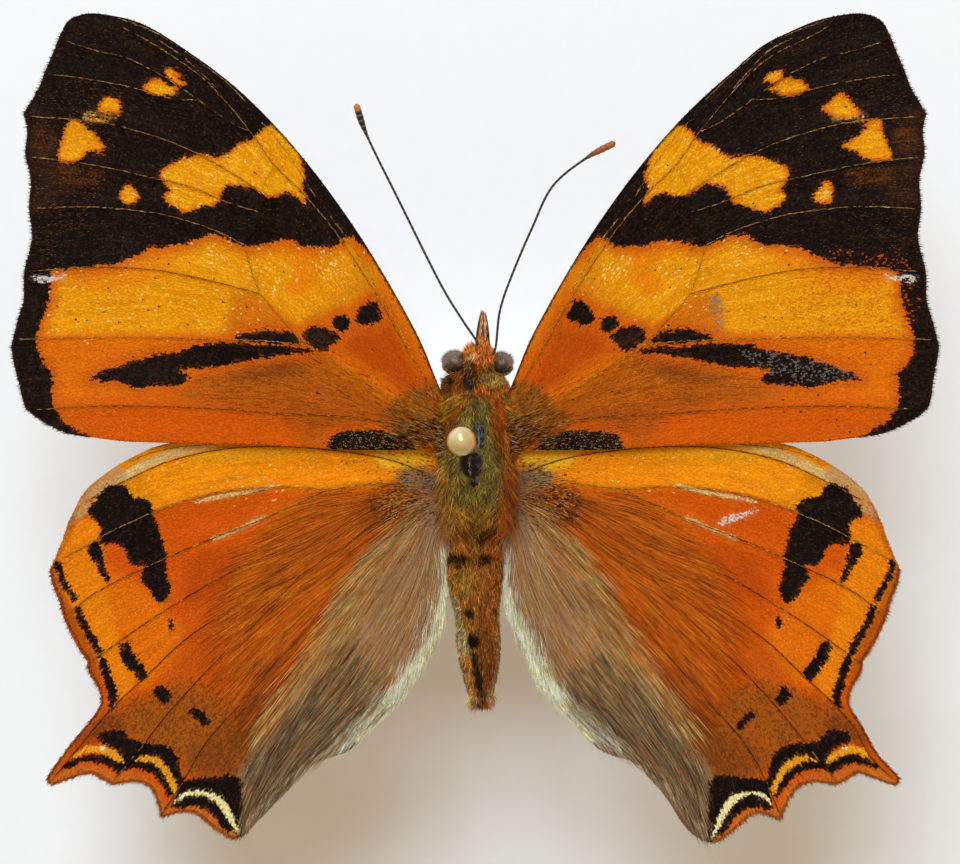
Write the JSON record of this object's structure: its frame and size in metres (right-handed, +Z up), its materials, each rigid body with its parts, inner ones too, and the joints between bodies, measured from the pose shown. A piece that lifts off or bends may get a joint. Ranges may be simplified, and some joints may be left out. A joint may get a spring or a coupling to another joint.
{
  "type": "mounted orange mapwing butterfly",
  "caption": "Spread orange butterfly with dark wing tips and tailed hindwings, dried and set on an insect pin that stands in a small strip of white foam.",
  "frame": {"origin": "on the underside of the foam strip, below the middle of the wing roots", "axes": "+Z up along the pin, +Y towards the head, +X to the animal's right along the wing span"},
  "size_m": [0.0502, 0.045, 0.04],
  "materials": {
    "wing_scales": "satin overlapping scales, orange with black and gold marks",
    "body_hair": "long silky hair, olive brown",
    "abdomen_hair": "short silky hair, golden brown with black marks",
    "head_hair": "short rust and cream hair",
    "eye": "satin, faceted, dark purple brown",
    "palp_scales": "short rust scales",
    "feeler": "satin, dark brown, ringed",
    "tongue": "satin, dark brown",
    "leg_scales": "short tan scales",
    "pin_metal": "polished steel shaft with a pearly gold head",
    "foam": "matt closed-cell foam"
  },
  "bodies": {
    "root": {"head": "head_hair", "eye_left": "eye", "eye_right": "eye", "palp_left": "palp_scales", "palp_right": "palp_scales", "proboscis": "tongue", "antenna_left": "feeler", "antenna_right": "feeler", "thorax": "body_hair", "abdomen": "abdomen_hair", "forewing_left": "wing_scales", "forewing_right": "wing_scales", "hindwing_left": "wing_scales", "hindwing_right": "wing_scales", "foreleg_left": "leg_scales", "foreleg_right": "leg_scales", "midleg_left": "leg_scales", "midleg_right": "leg_scales", "hindleg_left": "leg_scales", "hindleg_right": "leg_scales", "pin": "pin_metal", "stand_base": "foam"}
  },
  "joints": []
}
